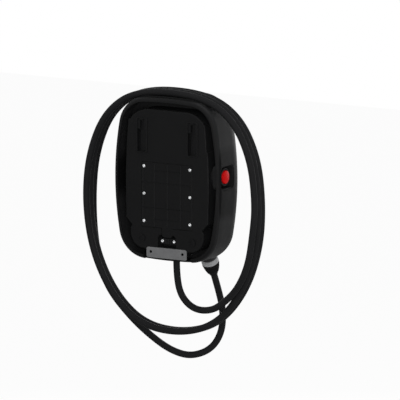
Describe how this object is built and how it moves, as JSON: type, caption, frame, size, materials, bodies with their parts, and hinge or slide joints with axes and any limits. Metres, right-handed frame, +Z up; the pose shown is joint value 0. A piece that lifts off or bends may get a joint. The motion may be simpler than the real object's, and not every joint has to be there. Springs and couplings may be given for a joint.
{
  "type": "ev wallbox",
  "caption": "Wall-mounted EV charging box with a tethered lead looped over a seat on its top, a holstered connector and a side stop button.",
  "frame": {"origin": "on the wall, midway between the two screw holes of the bracket under the box", "axes": "+Z up, +Y into the wall, +X to the right for someone who faces the box"},
  "size_m": [0.4734, 0.2894, 0.675],
  "materials": {
    "cover_plastic": "fine leather grain, matt",
    "back_plastic": "moulded, satin",
    "panel_gloss": "polished",
    "light_clear": "frosted",
    "zinc_steel": "zinc plated",
    "bracket_steel": "dull zinc",
    "black_rubber": "matt",
    "lead_rubber": "smooth, slightly satin",
    "pale_plastic": "moulded, satin",
    "handle_plastic": "moulded, satin",
    "red_plastic": "moulded",
    "gland_plastic": "moulded, satin",
    "contact_metal": "silver plated",
    "spring_steel": "drawn wire",
    "board_green": "solder mask",
    "device_dark": "moulded",
    "device_pale": "moulded",
    "can_metal": "sheet",
    "terminal_grey": "moulded"
  },
  "bodies": {
    "housing": {"outer_cover": "cover_plastic", "cable_seat": "cover_plastic", "seat_screws": "zinc_steel", "cover_screws": "zinc_steel", "rear_housing": "back_plastic", "keyhole_hanger_left": "back_plastic", "keyhole_hanger_right": "back_plastic", "access_cover": "back_plastic", "access_gasket": "black_rubber", "access_screws": "zinc_steel", "wall_bracket": "bracket_steel", "bracket_screws": "zinc_steel", "cable_clamp": "back_plastic", "clamp_base": "back_plastic", "clamp_screws": "zinc_steel", "supply_grommet": "black_rubber", "lead_gland": "gland_plastic", "gland_lock_nut": "gland_plastic", "gland_dome": "gland_plastic", "gland_seal": "black_rubber", "charging_lead": "lead_rubber", "connector_collar": "pale_plastic", "connector_boot": "black_rubber", "connector_handle": "handle_plastic", "connector_nose": "handle_plastic", "pin_carrier": "device_dark", "contact_pins": "contact_metal", "holster": "back_plastic", "holster_screws": "zinc_steel", "front_panel": "panel_gloss", "light_bar": "light_clear", "light_board": "board_green", "inner_lid": "back_plastic", "lid_gasket": "black_rubber", "lid_screws": "zinc_steel", "power_board": "board_green", "power_board_screws": "zinc_steel", "contactors": "device_dark", "current_sensor": "device_dark", "filter_choke": "device_dark", "transformer": "device_pale", "capacitors": "can_metal", "fuse": "device_pale", "terminal_blocks": "terminal_grey", "terminal_screws": "zinc_steel", "control_board": "board_green", "processor": "can_metal", "radio_module": "can_metal", "coil_board": "board_green", "board_columns": "device_pale", "stop_pocket": "back_plastic", "stop_seal": "black_rubber", "stop_ring": "back_plastic", "stop_barrel": "device_dark", "stop_nut": "device_dark", "stop_contact_block": "device_dark", "stop_spring": "spring_steel"},
    "stop_stem": {"stop_plunger": "device_dark"},
    "stop_knob": {"stop_head": "red_plastic"}
  },
  "joints": [
    {"name": "stop_press", "type": "slide", "parent": "housing", "child": "stop_stem", "axis": [1, 0, 0], "range_m": [0, 0.004], "stiffness_N_per_m": 600, "springref_m": -0.004, "deforming": ["stop_spring"]},
    {"name": "stop_release", "type": "hinge", "parent": "stop_stem", "child": "stop_knob", "pos_m": [-0.129, -0.037, 0.186], "axis": [1, 0, 0], "range_deg": [0, 45], "stiffness_Nm_per_rad": 0.05, "springref_deg": -17.19}
  ]
}
